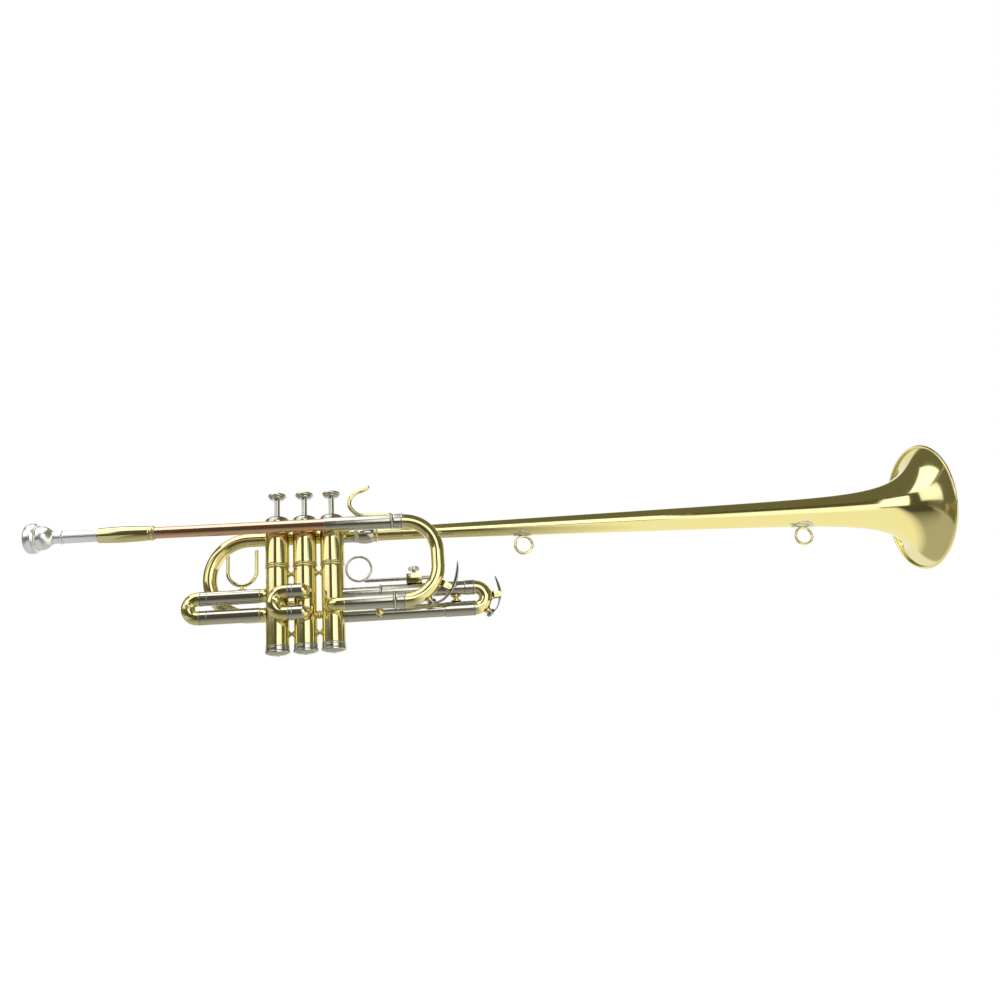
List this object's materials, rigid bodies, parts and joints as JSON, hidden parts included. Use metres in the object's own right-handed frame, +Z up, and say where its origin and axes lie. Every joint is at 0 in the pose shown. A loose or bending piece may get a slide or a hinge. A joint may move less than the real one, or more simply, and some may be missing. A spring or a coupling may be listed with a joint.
{
  "type": "herald trumpet",
  "caption": "Straight-belled herald trumpet with piston valves, tuning slides, water keys, thumb saddle, finger ring and hook, and banner rings under a long flared bell",
  "frame": {"origin": "middle valve's axis at the height where the left hand grips the valve casings", "axes": "+X along the tubing towards the bell, +Y to the player's left, +Z up the valves"},
  "size_m": [0.8675, 0.127, 0.1773],
  "materials": {
    "lacquered_brass": "polished brass under clear lacquer",
    "rose_brass": "polished copper-rich brass under clear lacquer",
    "nickel_plate": "polished nickel silver",
    "silver_plate": "bright silver plate",
    "monel": "lapped nickel-copper alloy",
    "spring_steel": "drawn spring wire",
    "cork": "natural cork"
  },
  "bodies": {
    "instrument": {"bell_bow": "lacquered_brass", "bell_brace": "lacquered_brass", "bell_ferrule": "nickel_plate", "bell_flare": "lacquered_brass", "bell_tail": "lacquered_brass", "bottom_cap_1": "nickel_plate", "bottom_cap_2": "nickel_plate", "bottom_cap_3": "nickel_plate", "casing_1": "lacquered_brass", "casing_2": "lacquered_brass", "casing_3": "lacquered_brass", "finger_hook": "lacquered_brass", "first_lower_sleeve": "nickel_plate", "first_upper_sleeve": "nickel_plate", "flag_ring_1": "lacquered_brass", "flag_ring_2": "lacquered_brass", "leadpipe": "rose_brass", "mouthpiece_receiver": "lacquered_brass", "second_lower_sleeve": "nickel_plate", "second_upper_sleeve": "nickel_plate", "spring_1": "spring_steel", "spring_2": "spring_steel", "spring_3": "spring_steel", "third_inner_tube": "nickel_plate", "third_lower_sleeve": "nickel_plate", "thumb_saddle": "lacquered_brass", "top_cap_1": "nickel_plate", "top_cap_2": "nickel_plate", "top_cap_3": "nickel_plate", "tuning_lower_sleeve": "nickel_plate", "tuning_upper_sleeve": "nickel_plate"},
    "mouthpiece_piece": {"mouthpiece": "silver_plate"},
    "tuning_slide": {"tuning_upper_leg": "nickel_plate", "tuning_lower_leg": "nickel_plate", "tuning_bow": "lacquered_brass", "tuning_key_saddle": "nickel_plate", "tuning_key_spring": "spring_steel"},
    "tuning_key": {"tuning_key_lever": "nickel_plate", "tuning_key_cork": "cork"},
    "third_slide": {"third_outer_tube": "nickel_plate", "third_lower_leg": "nickel_plate", "third_bow": "lacquered_brass", "third_key_saddle": "nickel_plate", "third_key_spring": "spring_steel"},
    "third_key": {"third_key_lever": "nickel_plate", "third_key_cork": "cork"},
    "ring_and_rod": {"finger_ring": "nickel_plate"},
    "clamp_screw": {"thumb_screw": "lacquered_brass"},
    "first_valve_slide": {"first_slide": "lacquered_brass"},
    "second_valve_slide": {"second_slide": "lacquered_brass"},
    "valve_1": {"piston_1": "monel", "stem_1": "nickel_plate", "button_1": "nickel_plate"},
    "valve_2": {"piston_2": "monel", "stem_2": "nickel_plate", "button_2": "nickel_plate"},
    "valve_3": {"piston_3": "monel", "stem_3": "nickel_plate", "button_3": "nickel_plate"}
  },
  "joints": [
    {"name": "valve_1_stroke", "type": "slide", "parent": "instrument", "child": "valve_1", "axis": [0, 0, -1], "range_m": [0, 0.0165], "stiffness_N_per_m": 260, "springref_m": -0.012, "deforming": ["spring_1"]},
    {"name": "valve_2_stroke", "type": "slide", "parent": "instrument", "child": "valve_2", "axis": [0, 0, -1], "range_m": [0, 0.0165], "stiffness_N_per_m": 260, "springref_m": -0.012, "deforming": ["spring_2"]},
    {"name": "valve_3_stroke", "type": "slide", "parent": "instrument", "child": "valve_3", "axis": [0, 0, -1], "range_m": [0, 0.0165], "stiffness_N_per_m": 260, "springref_m": -0.012, "deforming": ["spring_3"]},
    {"name": "mouthpiece_pull", "type": "slide", "parent": "instrument", "child": "mouthpiece_piece", "axis": [-1, 0, 0], "range_m": [0, 0.03]},
    {"name": "tuning_slide_pull", "type": "slide", "parent": "instrument", "child": "tuning_slide", "axis": [1, 0, 0], "range_m": [0, 0.03]},
    {"name": "tuning_key_press", "type": "hinge", "parent": "tuning_slide", "child": "tuning_key", "pos_m": [0.13164, -0.0186, -0.01298], "axis": [0, -1, 0], "range_deg": [0, 18], "stiffness_Nm_per_rad": 0.02, "springref_deg": -28.65},
    {"name": "third_slide_pull", "type": "slide", "parent": "instrument", "child": "third_slide", "axis": [1, 0, 0], "range_m": [0, 0.035]},
    {"name": "third_key_press", "type": "hinge", "parent": "third_slide", "child": "third_key", "pos_m": [0.17815, 0, -0.01915], "axis": [0, -1, 0], "range_deg": [0, 18], "stiffness_Nm_per_rad": 0.02, "springref_deg": -28.65},
    {"name": "ring_reach", "type": "slide", "parent": "third_slide", "child": "ring_and_rod", "axis": [1, 0, 0], "range_m": [0, 0.012]},
    {"name": "clamp_screw_turn", "type": "hinge", "parent": "third_slide", "child": "clamp_screw", "pos_m": [0.1002, -0.003, 0.006], "axis": [0, 0, 1], "range_deg": [0, 360]},
    {"name": "first_slide_pull", "type": "slide", "parent": "instrument", "child": "first_valve_slide", "axis": [-1, 0, 0], "range_m": [0, 0.03]},
    {"name": "second_slide_pull", "type": "slide", "parent": "instrument", "child": "second_valve_slide", "axis": [-1, 0, 0], "range_m": [0, 0.006]}
  ]
}
